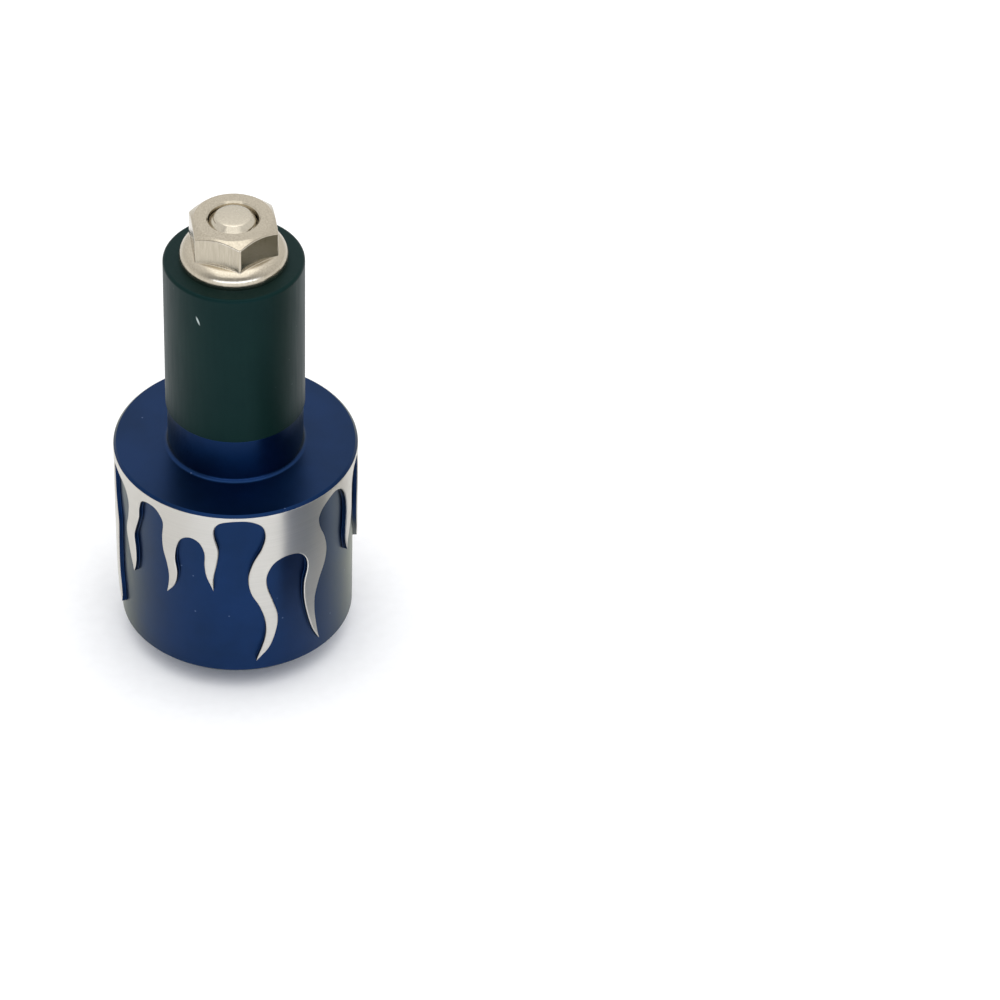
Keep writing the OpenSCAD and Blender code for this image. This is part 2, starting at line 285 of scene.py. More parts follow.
# %% Zinc plated steel
def zinc_plated(name, light, dark, smoothest, roughest, streak_width):
    streak_length, cloud_size = 14 * streak_width, 2.5 * MM
    finish, tree = new_finish(name)
    place = put(tree, "ShaderNodeTexCoord").outputs["Object"]
    drawn = put(tree, "ShaderNodeMapping", {
        "Vector": place, "Scale": (1 / streak_width, 1 / streak_width, 1 / streak_length)})
    streak = put(tree, "ShaderNodeTexNoise", {
        "Vector": drawn, "Scale": 1.0, "Detail": 4.0, "Roughness": 0.65})
    cloud = put(tree, "ShaderNodeTexNoise", {"Vector": place, "Scale": 1 / cloud_size, "Detail": 3.0})
    colour = put(tree, "ShaderNodeValToRGB", {"Fac": streak}, [(0.3, dark), (0.7, light)])
    rough = put(tree, "ShaderNodeMapRange", {
        "Value": cloud, "From Min": 0.3, "From Max": 0.7, "To Min": smoothest, "To Max": roughest})
    bump = put(tree, "ShaderNodeBump", {"Height": streak, "Strength": 0.3, "Distance": 0.02 * MM})
    shader = put(tree, "ShaderNodeBsdfPrincipled", {
        "Base Color": colour, "Metallic": 1.0, "Roughness": rough, "Normal": bump})
    put(tree, "ShaderNodeOutputMaterial", {"Surface": shader})
    return finish


NUT_ZINC = zinc_plated("steel cold formed and zinc plated", "#c1b8a6", "#aca392", 0.16, 0.26, 0.18 * MM)
SCREW_ZINC = zinc_plated("steel turned and zinc plated", "#c9c1b0", "#bbb3a3", 0.2, 0.3, 0.25 * MM)
print(NUT_ZINC.name, "|", SCREW_ZINC.name)

# %% [markdown]
# ## The drawing of the flames
# The flames were drawn flat, as a band that unrolls from the weight: degrees round it against millimetres
# below the shoulder. Each flame has the points of its left edge, which starts level in a pocket, then its
# tip, and then the points of its right edge, which ends in the next flame's pocket.

# %% Draw the flames flat
FLAMES = [
    ([(-76, 1.5), (-67, 1.7), (-60.5, 2.4), (-57.5, 4), (-58, 6), (-60, 8.5), (-58.5, 10.5), (-55.5, 13)],
     (-53.5, 14.3),
     [(-52, 12.5), (-52, 10.5), (-53, 8.5), (-51.5, 7), (-49, 5), (-48.5, 3.5), (-46.5, 2)]),
    ([(-41, 1.5), (-36.5, 1.8), (-33, 3.2), (-33.5, 5.5), (-33, 7.5), (-31, 9.5), (-30, 11.5)],
     (-31, 14),
     [(-27, 12.5), (-25.5, 10.5), (-26.5, 8.2), (-25.5, 6.2), (-23, 4.8)]),
    ([(-18.5, 4.2), (-14, 4.7), (-11.5, 6.2), (-11.5, 8.2), (-10.5, 10)],
     (-7.3, 12),
     [(-7.3, 10), (-5.6, 7.6), (-4.8, 5.6), (-6.4, 3.8), (-6.8, 2.3), (-4.4, 1.3), (0.5, 0.9)]),
    ([(6, 0.8), (11.5, 1.1), (16, 2), (17.4, 3.6), (15.6, 5.5), (11.5, 7.6), (9.2, 10), (10.4, 12.4),
      (14.6, 14.8), (17.2, 17.4), (16.8, 20)],
     (12.5, 23.4),
     [(19, 21.4), (22.5, 18.6), (23, 16.4), (20.6, 14), (18, 11.6), (18.2, 9.7), (22, 8)]),
    ([(28.5, 7.4), (34.5, 7.7), (38.4, 9), (39, 10.6), (37.3, 12.6), (37.2, 15.2), (39, 18), (42, 20.8)],
     (46, 23),
     [(44.3, 20.4), (43.2, 17.8), (43.6, 15.6), (46.2, 13.2), (49.8, 11), (51, 9), (49.6, 7), (46.6, 5),
      (46.2, 3.4), (49.6, 2.1)]),
    ([(57, 1.2), (63, 1.9), (66.6, 3.6), (68, 5.8), (67.6, 8), (67, 10.3)],
     (69, 12.7),
     [(69.8, 11.4), (72.4, 9.4), (74.2, 7.4), (74.3, 5), (74.8, 3), (77.5, 1.4)]),
    ([(83, 0.9), (88.5, 1.7), (91, 3.6), (90.2, 5.6), (87.8, 7.8), (86.8, 9.8), (88.2, 12), (92.2, 14.2)],
     (97.3, 16.5),
     [(96, 14.2), (93.6, 12), (92.6, 10.2), (93.8, 8), (97, 5.8)]),
    ([(102.5, 4.4), (107.5, 4.7), (110.5, 6), (109.5, 8.2), (107, 10.4), (107, 12.6), (110, 15.4)],
     (115.5, 18.2),
     [(116, 15.2), (115.6, 12.4), (114.8, 9.6), (115.4, 6.8), (117.2, 4.2), (121, 1.8)]),
    ([(128, 0.9), (137.5, 1.1), (144.5, 1.9), (147.6, 3.6), (147, 6), (143.6, 9.4), (141, 13), (141, 17),
      (140, 21)],
     (137.5, 24.5),
     [(144.5, 21.8), (149, 18), (149.6, 14), (152.6, 10.4), (157, 8)]),
    ([(163, 7.1), (168, 7.6), (171, 9.4), (170.6, 12.2), (173.4, 15.4)],
     (178.4, 18.6),
     [(178.8, 15.2), (177.6, 11.8), (179.4, 8), (181, 5), (180.4, 2.8), (184, 1.3)]),
    ([(191, 0.9), (197, 1.3), (200.6, 3), (200.4, 5.4), (197.4, 8), (197.6, 10.6)],
     (201.8, 13.6),
     [(202.6, 10.8), (205.6, 8.2), (206.4, 5.8), (209.2, 4.3)]),
    ([(214, 3.8), (219, 4.3), (221.4, 6.2), (220.4, 9), (217.8, 12), (219.2, 15.4), (223.6, 18.8)],
     (227, 22.2),
     [(227.8, 18.4), (225.4, 14.6), (224.8, 11.4), (228, 8), (230.8, 5), (231.2, 2.8), (235, 1.3)]),
    ([(241, 0.9), (247, 1.4), (250, 3.2), (249, 6), (247.2, 8.8), (248.6, 11.6)],
     (252.6, 15),
     [(253.6, 12), (253.4, 9.2), (255, 6.8)]),
    ([(259.5, 5), (264, 5.4), (266.4, 7.4), (265.6, 10.4), (264.6, 13.4), (266, 16.4)],
     (269, 19.2),
     [(269.8, 16.4), (269.6, 13.8), (271, 11.6)]),
    ([(274.4, 10.4), (277.8, 11), (279.8, 13), (280.4, 15.8), (282.4, 18.8), (286, 21)],
     (291, 22.4),
     [(290, 20.2), (288, 18.3), (287.2, 16), (287.4, 13.3), (288, 10), (285.6, 8), (283.4, 6.2),
      (282.2, 4), (281.4, 2.5)]),
]
print(len(FLAMES), "flames, the lowest tip at", max(tip[1] for _, tip, _ in FLAMES), "mm below the shoulder")

# %% [markdown]
# ## A smooth line through the drawing
# The points could be joined straight, but a milling cutter never leaves a corner in a pocket. So a
# smooth curve runs through them, level in the pockets and sharp only at the tips. How far each point of
# it lies from its tip is kept too, because the bevel has to grow thin there.

# %% Run a smooth line through the flames
BODY_R = reach_of("weight")[0]
RELIEF, SHOULDER = 0.6, 28.4
GROUND_R = BODY_R - RELIEF
LAP = 2 * math.pi * BODY_R
CURVE_STEPS = 7
SEAM_FLAME = 8


def smooth(points, before, after):
    """A curve through all the points, with the directions at its ends given by two more."""
    p = np.array([before, *points, after], float)
    out = []
    for i in range(1, len(p) - 2):
        a, b, c, d = p[i - 1:i + 3]
        for t in np.arange(CURVE_STEPS) / CURVE_STEPS:
            out.append(0.5 * (2 * b + (c - a) * t + (2 * a - 5 * b + 4 * c - d) * t * t
                              + (3 * b - a - 3 * c + d) * t ** 3))
    return out + [p[-2]]


once = [np.array([*left, tip, *right_edge], float) for left, tip, right_edge in FLAMES]
twice = once + [points + (360, 0) for points in once]
outline, from_tip = [], []
for k in range(SEAM_FLAME, SEAM_FLAME + len(FLAMES)):
    points = np.vstack([twice[k], twice[k + 1][:1]])
    tip = len(FLAMES[k % len(FLAMES)][0])
    level_in = (2 * points[0][0] - points[1][0], points[1][1])
    level_out = (2 * points[-1][0] - points[-2][0], points[-2][1])
    fall = smooth(points[:tip + 1], level_in, points[tip])
    rise = smooth(points[tip:], points[tip], level_out)
    flat = np.array(fall + rise[1:-1])
    flat[:, 0] *= math.radians(1) * BODY_R
    along = np.append(0, np.cumsum(np.linalg.norm(np.diff(flat, axis=0), axis=1)))
    from_tip += list(abs(along - along[len(fall) - 1]))
    outline += flat.tolist()
outline, from_tip = np.array(outline), np.array(from_tip)
print(len(outline), "points on the flames' edge, longest reach", round(outline[:, 1].max(), 1), "mm")

# %% [markdown]
# ## A skin with true normals
# Bright metal shows every fault in a mesh, because its shading follows the normals. Blender can work the
# normals out from the faces, but on a turned part the true ones are known: they follow the tool's path.
# So each patch is added with its own exact normals, the patches are welded where their points meet, and
# the normals are given to the mesh as custom ones. A face that lies the wrong way round is turned.

# %% Weld patches into one mesh
WELD_DIGITS = 5


class Skin:
    def __init__(self):
        self.points, self.normals, self.faces, self.slots = [], [], [], []

    def add(self, points, normals, faces, slot=0):
        start = len(self.points)
        self.points += [tuple(p) for p in points]
        self.normals += [tuple(n) for n in normals]
        self.faces += [[start + corner for corner in face] for face in faces]
        self.slots += [slot] * len(faces)

    def rows(self, points, normals, slot=0):
        """Closed rings of points, joined by a band of faces from each to the next."""
        points, normals = np.array(points), np.array(normals)
        count, around = points.shape[:2]
        faces = []
        for i in range(count - 1):
            for j in range(around):
                here, there = i * around + j, i * around + (j + 1) % around
                faces.append([here, there, there + around, here + around])
        self.add(points.reshape(-1, 3), normals.reshape(-1, 3), faces, slot)

    def mesh(self, name):
        points, normals = np.array(self.points), np.array(self.normals)
        _, first, same = np.unique(
            np.round(points, WELD_DIGITS), axis=0, return_index=True, return_inverse=True)
        same = same.reshape(-1)
        faces, slots, shades = [], [], []
        for face, slot in zip(self.faces, self.slots):
            face = [c for k, c in enumerate(face) if same[c] != same[face[k - 1]]]
            if len(face) < 3:
                continue
            at = points[face]
            way = np.cross(at - np.roll(at, 1, 0), np.roll(at, -1, 0) - at).sum(0)
            if way @ normals[face].sum(0) < 0:
                face.reverse()
            faces.append([int(same[c]) for c in face])
            slots.append(slot)
            shades += [tuple(normals[c]) for c in face]
        made = bpy.data.meshes.new(name)
        made.from_pydata((points[first] * MM).tolist(), [], faces)
        made.polygons.foreach_set("material_index", slots)
        made.polygons.foreach_set("use_smooth", [True] * len(faces))
        made.normals_split_custom_set(shades)
        return made


print("skins ready, welded to", 10.0 ** -WELD_DIGITS, "mm")

# %% [markdown]
# ## A lathe
# Everything here but the flames and the hexagons comes off a lathe. A profile could be drawn as a curve
# and spun by the Screw modifier, but then the normals at its small roundings would be guessed. So a
# profile is a list of corners, each with the rounding that a turner gives it, and the normals of its
# straights and arcs are worked out with it.

# %% Round the corners of a profile and turn it
def polar(angle, r, z):
    """Points, or normals, that stand at these angles round the axis; angle 0 is in front."""
    return np.stack(np.broadcast_arrays(r * np.sin(angle), -r * np.cos(angle), z), -1)


def arc(middle, radius, start, stop, count):
    """One run of a profile: rows of r, z and the normal's r and z, here along an arc."""
    t = np.linspace(start, stop, count)
    out = np.stack([np.cos(t), np.sin(t)], 1)
    return np.hstack([middle + radius * out, out])


def section(corners, steps=4):
    """The runs through corners, each with its r, its z and maybe a rounding; the metal is on the left."""
    at = [np.array(corner[:2], float) for corner in corners]
    leave, runs = at[0], []
    for i in range(1, len(at)):
        rounding = corners[i][2] if len(corners[i]) > 2 else 0
        enter, bend = at[i], None
        if rounding:
            u, v = at[i - 1] - at[i], at[i + 1] - at[i]
            u, v = u / np.linalg.norm(u), v / np.linalg.norm(v)
            half = math.acos(np.clip(u @ v, -1, 1)) / 2
            middle = at[i] + (u + v) / np.linalg.norm(u + v) * rounding / math.sin(half)
            enter, out = at[i] + u * rounding / math.tan(half), at[i] + v * rounding / math.tan(half)
            p, q = enter - middle, out - middle
            start, swing = math.atan2(p[1], p[0]), math.atan2(p[0] * q[1] - p[1] * q[0], p @ q)
            bend = arc(middle, rounding, start, start + swing, steps + 1)
            bend[:, 2:] *= math.copysign(1, swing)
        straight = enter - leave
        length = np.linalg.norm(straight)
        if length > 1e-6:
            normal = straight[1] / length, -straight[0] / length
            runs.append(np.array([[*leave, *normal], [*enter, *normal]]))
        leave = enter
        if bend is not None:
            runs.append(bend)
            leave = out
    return runs


def turned(skin, runs, angles, slot=0):
    for run in runs:
        r, z, out, rise = (column[:, None] for column in run.T)
        skin.rows(polar(angles, r, z), polar(angles, out, rise), slot)


print("lathe ready")

# %% [markdown]
# ## The rounded outer end
# Below the flames the weight rounds in to a flat, as an arc that a lathe could cut in one sweep. Where
# the arc meets the side it stands at an angle, and a turner breaks that crease. A bevel modifier could do
# it, but the ground of the flames has to end exactly where the crease starts, so both are worked out.

# %% Work out the rounded end
END_ROUND, FLAT_R, CREASE = 3.15, 7.5, 0.2
inward_reach = GROUND_R - FLAT_R
DOME_R = (inward_reach ** 2 + END_ROUND ** 2) / (2 * END_ROUND)
crease_z = DOME_R - math.sqrt((DOME_R - CREASE) ** 2 - (inward_reach - CREASE) ** 2)
crease_turn = math.atan2(crease_z - DOME_R, inward_reach - CREASE)
GROUND_DEPTH = SHOULDER - crease_z
dome = arc((FLAT_R, DOME_R), DOME_R, -math.pi / 2, crease_turn, 22)
crease = arc((GROUND_R - CREASE, crease_z), CREASE, crease_turn, 0, 6)
print("the arc has a radius of", round(DOME_R, 2), "mm, the ground ends", round(crease_z, 2), "mm up")

# %% [markdown]
# ## The edge of the flames
# The skim cut leaves a crisp edge that shines as a thin line round each flame. So the wall between
# flame and ground starts with a bare bevel of 0.1 mm and ends with a small foot, and for those the line
# is set off to both sides. A displacement map could raise the flames, but its walls would be ragged. At
# a tip the line turns sharply: there the normals stay apart, and the bevel grows thin.

# %% Set the line off to both sides
EDGE_BREAK, FOOT, TIP_TAPER = 0.1, 0.1, 0.12
GENTLE = math.cos(math.radians(60))
line = np.vstack([outline, outline[0] + (LAP, 0)])
edge = np.diff(line, axis=0)
after = np.stack([edge[:, 1], -edge[:, 0]], 1) / np.linalg.norm(edge, axis=1)[:, None]
before = np.roll(after, 1, 0)
gentle = (before * after).sum(1)[:, None] > GENTLE
mean = (before + after) / np.linalg.norm(before + after, axis=1)[:, None]
up_start = np.where(gentle, mean, after)
up_end = np.roll(np.where(gentle, mean, before), -1, 0)
up_at = np.vstack([mean, mean[:1]])
inset = np.minimum(EDGE_BREAK, TIP_TAPER * np.append(from_tip, from_tip[0]))
top_line = line + up_at * inset[:, None]
foot_line = line - up_at * FOOT
print("corners that stay sharp:", int((~gentle).sum()))

# %% [markdown]
# ## The flames on the weight
# The flat drawing is filled with triangles twice: above the line for the flames, below it for the ground.
# A fill by the edit mode's own tool would make long slivers that bend when they are rolled up, so points
# are strewn inside it first, and the triangles stay small. Then both sheets are rolled up, the flames at
# the radius of the weight and the ground 0.6 mm deeper.

# %% Roll up the flames and the ground
ANGLES = np.radians(FLAMES[SEAM_FLAME][0][0][0] + np.arange(0, 360, 2.0))
BLUE_SLOT, BARE_SLOT = 0, 1
RIM_DEPTH = 0.5
GRID, GRID_END, SEAM_GAP, POINT_GAP = 0.9, 25, 0.3, 0.4


def rolled(flat, radius):
    return polar(flat[:, 0] / BODY_R, radius, SHOULDER - flat[:, 1])


def outward(flat):
    return polar(flat[:, 0] / BODY_R, 1, 0)


def sheet(border, far_depth):
    """Triangles between the border line and a level line at another depth."""
    level = ANGLES * BODY_R
    level = np.append(level, level[0] + LAP)
    far = np.stack([level, np.full_like(level, far_depth)], 1)
    depths = np.arange(GRID, GRID_END, GRID)
    low, high = sorted((border[0][1], far_depth))
    seam = [d for d in depths if low + SEAM_GAP < d < high - SEAM_GAP]
    upwards = far_depth < border[0][1]
    if upwards:
        seam.reverse()
    ring = [*border, *[(level[-1], d) for d in seam], *far[::-1], *[(level[0], d) for d in seam[::-1]]]
    inside = []
    for k, s in enumerate(level[1:-1]):
        for d in depths + (GRID / 2 if k % 2 else 0):
            gap = np.linalg.norm(border - (s, d), axis=1).min()
            if gap > POINT_GAP and abs(d - far_depth) > POINT_GAP:
                inside.append((s, d))
    points = np.array([*ring, *inside])
    loop = list(range(len(ring)))
    if upwards:
        loop.reverse()
    _, _, cut, whence, _, _ = delaunay_2d_cdt([Vector(p) for p in points], [], [loop], 1, 1e-6)
    assert all(whence), "the flame line crosses itself"
    return points, [[whence[c][0] for c in face] for face in cut]


weight_skin = Skin()
for border, far_depth, radius, slot in ((top_line, RIM_DEPTH, BODY_R, BARE_SLOT),
                                        (foot_line, GROUND_DEPTH, GROUND_R, BLUE_SLOT)):
    flat, cut = sheet(border, far_depth)
    weight_skin.add(rolled(flat, radius), outward(flat), cut, slot)
    print("sheet at", radius, "mm:", len(cut), "triangles")

# %% [markdown]
# ## The wall round each flame
# An end mill cuts the pockets, so the wall stands straight out from the axis. It could be a plain strip
# between the two sheets, but with no bevel it would catch no light. It is three strips here: the bare
# bevel, the blue wall, and the foot, whose normals turn from the wall to the ground.

# %% Raise the wall
rings = [rolled(top_line, BODY_R), rolled(line, BODY_R - inset), rolled(line, GROUND_R + FOOT),
         rolled(foot_line, GROUND_R)]
for i, ups in enumerate(zip(up_start, up_end)):
    out = outward(line[i:i + 2])
    across = np.cross((0, 0, 1), out)
    wall = np.array([(0, 0, up[1]) - up[0] * side for up, side in zip(ups, across)])
    bevel = (wall + out) / math.sqrt(2)
    for k, (top, low, slot) in enumerate([(bevel, bevel, BARE_SLOT), (wall, wall, BLUE_SLOT),
                                          (wall, out, BLUE_SLOT)]):
        quad = [rings[k][i], rings[k][i + 1], rings[k + 1][i + 1], rings[k + 1][i]]
        weight_skin.add(quad, [top[0], top[1], low[1], low[0]], [[0, 1, 2, 3]], slot)
print(len(edge), "wall strips, longest flame reaches", round(line[:, 1].max(), 1), "mm")

# %% [markdown]
# ## The turned rest of the weight
# The rim, the shoulder, the neck with its fillet, the bore, the counterbore and the flat of the outer end
# are all one lathe profile. It could be four pieces, but the real weight is one billet. Each corner that
# shows has a small rounding, as a turner breaks edges, because a sharp one would catch no light at all.

# %% Turn the rim, neck, bore and outer end
RIM_CHAMFER, NECK_R, NECK_FILLET = 0.35, 8.3, 0.5
HOLE_R, RECESS_R, SEAT = 3.2, 5.5, 7.6
MOUTH_R, MOUTH_Z = 0.31, 0.3
RIM_EDGE, SHOULDER_EDGE, NECK_EDGE, RECESS_EDGE, FLAT_EDGE = 0.14, 0.12, 0.15, 0.05, 0.08
profile = section([
    (BODY_R, SHOULDER - RIM_DEPTH), (BODY_R, SHOULDER - RIM_CHAMFER, RIM_EDGE),
    (BODY_R - RIM_CHAMFER, SHOULDER, SHOULDER_EDGE), (NECK_R, SHOULDER, NECK_FILLET),
    (NECK_R, NECK_TOP, NECK_EDGE), (HOLE_R + MOUTH_R, NECK_TOP), (HOLE_R, NECK_TOP - MOUTH_Z),
    (HOLE_R, SEAT), (RECESS_R, SEAT), (RECESS_R, MOUTH_Z, RECESS_EDGE), (RECESS_R + MOUTH_R, 0, FLAT_EDGE),
    (FLAT_R, 0)], steps=6)
turned(weight_skin, profile[:2], ANGLES, BARE_SLOT)
turned(weight_skin, [*profile[2:], dome, crease], ANGLES, BLUE_SLOT)

weight = piece_of("weight_body", weight_skin.mesh("weight_body"), BLUE, BARE)
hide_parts("weight")
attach(weight, "root")
print("weight:", triangles(weight.data), "triangles")

# %% [markdown]
# ## The rubber sleeve
# A plain tube, cut to length, with its two outer edges softened. A cylinder with a bevel would do, but
# the lathe function gives the bore and the exact edge in one profile.

# %% Turn the sleeve
SLEEVE_EDGE, SLEEVE_FOOT = 0.4, 0.15
sleeve_skin = Skin()
turned(sleeve_skin, section([
    (HOLE_R, NECK_TOP), (SLEEVE_R, NECK_TOP, SLEEVE_FOOT), (SLEEVE_R, SLEEVE_TOP, SLEEVE_EDGE),
    (HOLE_R, SLEEVE_TOP), (HOLE_R, NECK_TOP)], steps=6), ANGLES)
sleeve = piece_of("rubber_sleeve", sleeve_skin.mesh("rubber_sleeve"), RUBBER)
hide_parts("sleeve")
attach(sleeve, "root")
print("sleeve:", triangles(sleeve.data), "triangles")

# %% [markdown]
# ## A hexagon with rounded corners
# A nut and a key's socket are both hexagons. Seen along one direction from the axis, though, each is just
# a profile that stands at the hexagon's distance, so it can be turned like the rest, if the distance
# follows the direction. The directions lie closer together towards the corners, where the rounding is.

# %% Measure a hexagon in each direction
SPREAD = [0, 4.5, 9, 14, 19, 23, 25.5, 27, 28, 29]
SECTOR = np.array([-30, *[-s for s in SPREAD[:0:-1]], *SPREAD])
AROUND = np.concatenate([SECTOR + 60 * k for k in range(6)])
COS_30, SIN_30, TAN_30 = math.cos(math.pi / 6), 0.5, math.tan(math.pi / 6)


def hexagon(across_flats, rounding, degrees):
    """Distance and direction of the side; 0 degrees is the middle of a flat."""
    flat = across_flats / 2
    off = (degrees + 30) % 60 - 30
    q = (flat - rounding) / COS_30
    lean = np.radians(30 - abs(off))
    round_r = q * np.cos(lean) + np.sqrt(np.maximum(rounding ** 2 - (q * np.sin(lean)) ** 2, 0))
    on_flat = abs(off) <= math.degrees(math.atan(TAN_30 * (flat - rounding) / flat))
    r = np.where(on_flat, flat / np.cos(np.radians(off)), round_r)
    px, py = r * np.cos(np.radians(abs(off))) - q * COS_30, r * np.sin(np.radians(abs(off))) - q * SIN_30
    return r, degrees - off + np.where(on_flat, 0, np.degrees(np.arctan2(py, px)) * np.sign(off))


def eased(first, second, share):
    """Normals that turn from one set to another."""
    between = first * (1 - share) + second * share
    return between / np.linalg.norm(between, axis=1)[:, None]


print(len(AROUND), "directions round a hexagon")

# %% [markdown]
# ## The flange nut
# The nut is forged with its flange, which is a low dome, and then chamfered round the top, where the
# chamfer's cone cuts each flat in an arc. A dome, a cone and a hexagon could be joined by booleans, but
# those leave ragged edges. So the profile is worked out for every direction: up the flange, round the
# foot of the side, up the side and over the crown's cone, with a rounding on each edge.

# %% Work out the nut's profile for each direction
NUT_TURN, NUT_AF, NUT_CORNER, FLANGE_H = 41, 10.0, 0.3, 2.2
FLANGE_R, _, nut_top = reach_of("flange_nut")
NUT_H = round(nut_top - SLEEVE_TOP, 3)
CROWN_INSET, BEND_INSET = 0.3, 0.2
CROWN_R, CROWN_SLOPE = NUT_AF / 2 - CROWN_INSET, math.tan(math.radians(38))
BORE_R, FOOT_MOUTH, TOP_MOUTH, MOUTH_EDGE = 3.05, 0.16, 0.2, 0.06
FOOT_OUT, FOOT_IN, CROWN_IN = 0.06, 0.08, 0.14
QUARTERS = (0.25, 0.5, 0.75, 1.0)

turns = np.radians(AROUND + NUT_TURN)
side_r, side_way = hexagon(NUT_AF, NUT_CORNER, AROUND)
wall_normal = polar(np.radians(side_way + NUT_TURN), 1, 0)
crown_normal = polar(turns, CROWN_SLOPE, 1) / math.hypot(CROWN_SLOPE, 1)

bend_r = NUT_AF / 2 - BEND_INSET
bend = FLANGE_R - bend_r
bend_z = FLANGE_H - bend
low_turn = -math.asin(bend_z / bend)
high_turn = np.arccos((side_r + FOOT_OUT - bend_r) / bend)
rings, ways = [], []
for share in np.linspace(0, 1, 13):
    lift = low_turn + (high_turn - low_turn) * share
    rings.append(polar(turns, bend_r + bend * np.cos(lift), bend_z + bend * np.sin(lift)))
    ways.append(polar(turns, np.cos(lift), np.sin(lift)))
leave, flange_normal = rings[-1], ways[-1]
knee_z = bend_z + bend * np.sin(np.arccos((side_r - bend_r) / bend))
knee, arrive = polar(turns, side_r, knee_z), polar(turns, side_r, knee_z + FOOT_IN)
for t in QUARTERS:
    rings.append(leave * (1 - t) ** 2 + knee * 2 * t * (1 - t) + arrive * t ** 2)
    ways.append(eased(flange_normal, wall_normal, t))
crown_z = NUT_H - (side_r - CROWN_R) * CROWN_SLOPE
rings.append(polar(turns, side_r, crown_z - CROWN_IN))
ways.append(wall_normal)
for t in QUARTERS:
    rise = CROWN_IN * (CROWN_SLOPE * t ** 2 - (1 - t) ** 2)
    rings.append(polar(turns, side_r - CROWN_IN * t ** 2, crown_z + rise))
    ways.append(eased(wall_normal, crown_normal, t))
rings.append(polar(turns, CROWN_R, NUT_H))
ways.append(crown_normal)
print(len(rings), "rings, corners", round(2 * side_r.max(), 2), "mm across")

# %% [markdown]
# The flange's underside and the threaded bore are the same in every direction, so the lathe makes them.
# They could be left out under the flange, but the export wants each skin closed.

# %% Close the nut and set it on the sleeve
below = section([(BORE_R, FOOT_MOUTH), (BORE_R + FOOT_MOUTH, 0), (bend_r + bend * math.cos(low_turn), 0)])
above = section([(CROWN_R, NUT_H), (BORE_R + TOP_MOUTH, NUT_H, MOUTH_EDGE), (BORE_R, NUT_H - TOP_MOUTH),
                 (BORE_R, FOOT_MOUTH)])
on_sleeve = (0, SLEEVE_TOP, 0, 0)
nut_skin = Skin()
turned(nut_skin, [run + on_sleeve for run in [*below, *above]], turns)
nut_skin.rows(np.array(rings) + (0, 0, SLEEVE_TOP), ways)
nut = piece_of("flange_nut_body", nut_skin.mesh("flange_nut_body"), NUT_ZINC)
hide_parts("flange_nut")
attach(nut, "root")
print("nut:", triangles(nut.data), "triangles")

# %% [markdown]
# ## The screw's head
# A standard socket head: a cylinder with a knurled side and a hexagon socket for the key, pressed cold,
# with a drilled point at its floor. It is seen only from below, deep in its counterbore, but there it is
# the middle of the picture. A boolean could cut the socket, but the hexagon function of the nut makes it
# with true normals: its brim, its lip, its walls, its floor and the drilled point.

# %% Turn the head and press its socket
HEAD_R, FACE, TIP = reach_of("cap_screw")
HEAD_TOP, SHANK_R, THREAD_L, PITCH = SEAT, 3.0, 24.0, 1.0
BAND_R, CHAMFER_R, CHAMFER_Z, LOW_CHAMFER = HEAD_R - 0.06, 0.32, 0.5, 0.2
FACE_EDGE, BAND_EDGE, SHANK_FILLET = 0.15, 0.1, 0.25
SOCKET_AF, SOCKET_CORNER, SOCKET_FLOOR = 5.0, 0.12, 4.6
BRIM, LIP, LIP_LEAN = 0.08, 0.12, 0.1
POINT_R, POINT_Z, POINT_H, POINT_SLOPE = 2.2, 0.02, 1.1, 0.45
mouth_r = SOCKET_AF / 2 / COS_30 + 0.1

turns = np.radians(AROUND)
head_skin = Skin()
turned(head_skin, section([
    (mouth_r, FACE), (HEAD_R - CHAMFER_R, FACE, FACE_EDGE), (BAND_R, FACE + CHAMFER_Z, BAND_EDGE),
    (BAND_R, HEAD_TOP - LOW_CHAMFER), (HEAD_R - LOW_CHAMFER, HEAD_TOP),
    (SHANK_R, HEAD_TOP, SHANK_FILLET), (SHANK_R, TIP - THREAD_L)]), turns)

socket_r, socket_way = hexagon(SOCKET_AF, SOCKET_CORNER, AROUND)
inward, down = -polar(np.radians(socket_way), 1, 0), polar(turns, 0, -1)
lip = (inward + down) / math.sqrt(2)
point = polar(turns, -POINT_SLOPE, -1) / math.hypot(POINT_SLOPE, 1)
lip_z = FACE + LIP + (socket_r - SOCKET_AF / 2) * LIP_LEAN
rings = [polar(turns, mouth_r, FACE), polar(turns, socket_r + BRIM, FACE), polar(turns, socket_r, lip_z),
         polar(turns, socket_r, SOCKET_FLOOR), polar(turns, POINT_R, SOCKET_FLOOR + POINT_Z),
         polar(turns, 0.0, SOCKET_FLOOR + POINT_H)]
for upper, lower, way in zip(rings, rings[1:], (down, lip, inward, down, point)):
    head_skin.rows([upper, lower], [way, way])
head_mesh = head_skin.mesh("screw_head")
print("head:", triangles(head_mesh), "triangles")

# %% [markdown]
# ## The thread
# An M6 thread is a ridge that climbs 1 mm with every turn. It could be a curve with a profile swept along
# it, but then the ridge only lies on the rod. Here Geometry Nodes bend a flat grid round the axis instead,
# and its rows climb with the helix, so crest and root stay sharp. Where the grid would leave the thread's
# length it is held at the end, and welded there. A chamfer cuts the last turn off as on a real screw.

# %% Build the thread's node tree
def new_tree(name, sizes):
    tree = bpy.data.node_groups.new(name, "GeometryNodeTree")
    keys = {}
    for label, kind in sizes:
        keys[label] = tree.interface.new_socket(label, in_out="INPUT", socket_type=kind).identifier
    tree.interface.new_socket("Geometry", in_out="OUTPUT", socket_type="NodeSocketGeometry")
    return tree, put(tree, "NodeGroupInput").outputs, keys


def end_tree(tree, shape, finish):
    whole = put(tree, "GeometryNodeRealizeInstances", {"Geometry": shape})
    dressed = put(tree, "GeometryNodeSetMaterial", {"Geometry": whole, "Material": finish})
    put(tree, "NodeGroupOutput", {"Geometry": dressed})


